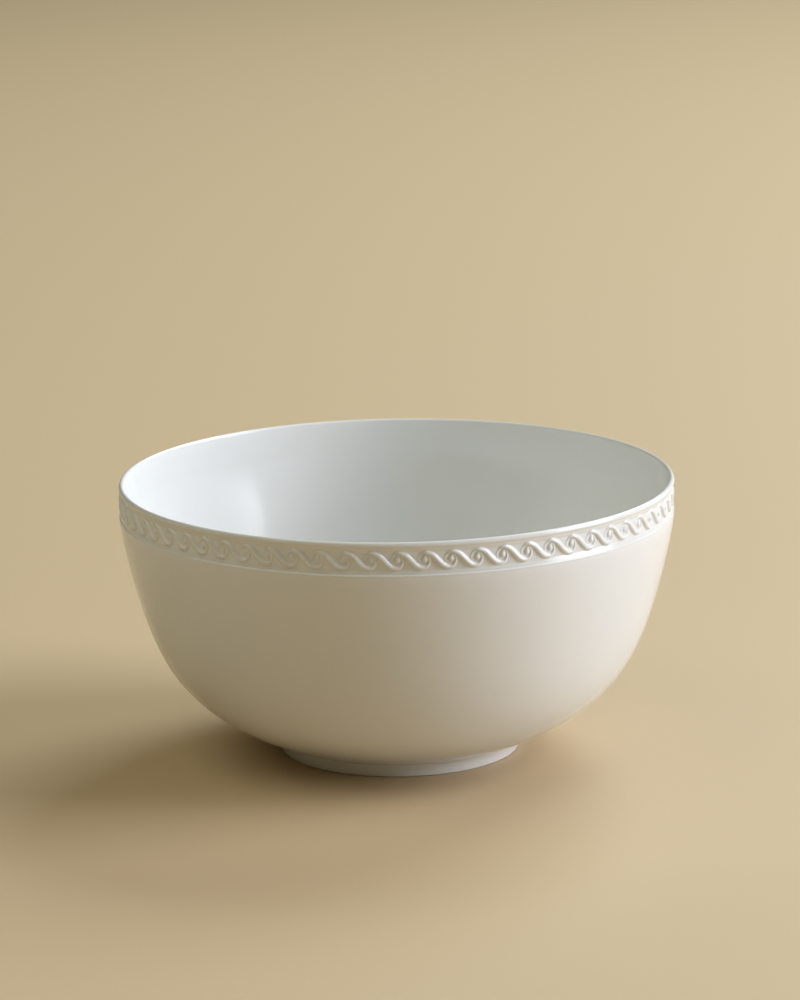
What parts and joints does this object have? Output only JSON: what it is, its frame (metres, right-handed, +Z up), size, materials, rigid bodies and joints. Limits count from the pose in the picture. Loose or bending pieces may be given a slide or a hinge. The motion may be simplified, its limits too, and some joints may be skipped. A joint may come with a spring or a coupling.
{
  "type": "serving bowl",
  "caption": "Deep round porcelain serving bowl on a low foot ring, with a raised frieze of running scrolls under a thin rolled lip.",
  "frame": {"origin": "on the resting plane, under the centre of the bowl", "axes": "+Z up along the bowl's axis of turning, +X to the right of a viewer who looks along +Y"},
  "size_m": [0.2604, 0.2604, 0.13],
  "materials": {
    "glaze": "clear glossy glaze over white porcelain"
  },
  "bodies": {
    "root": {"bowl_body": "glaze", "foot_ring": "glaze", "scroll_strip_01": "glaze", "scroll_strip_02": "glaze", "scroll_strip_03": "glaze", "scroll_strip_04": "glaze", "scroll_strip_05": "glaze", "scroll_strip_06": "glaze", "scroll_strip_07": "glaze", "scroll_strip_08": "glaze", "scroll_strip_09": "glaze", "scroll_strip_10": "glaze", "scroll_strip_11": "glaze", "scroll_strip_12": "glaze", "scroll_strip_13": "glaze", "scroll_strip_14": "glaze", "scroll_strip_15": "glaze", "scroll_strip_16": "glaze", "scroll_strip_17": "glaze"}
  },
  "joints": []
}
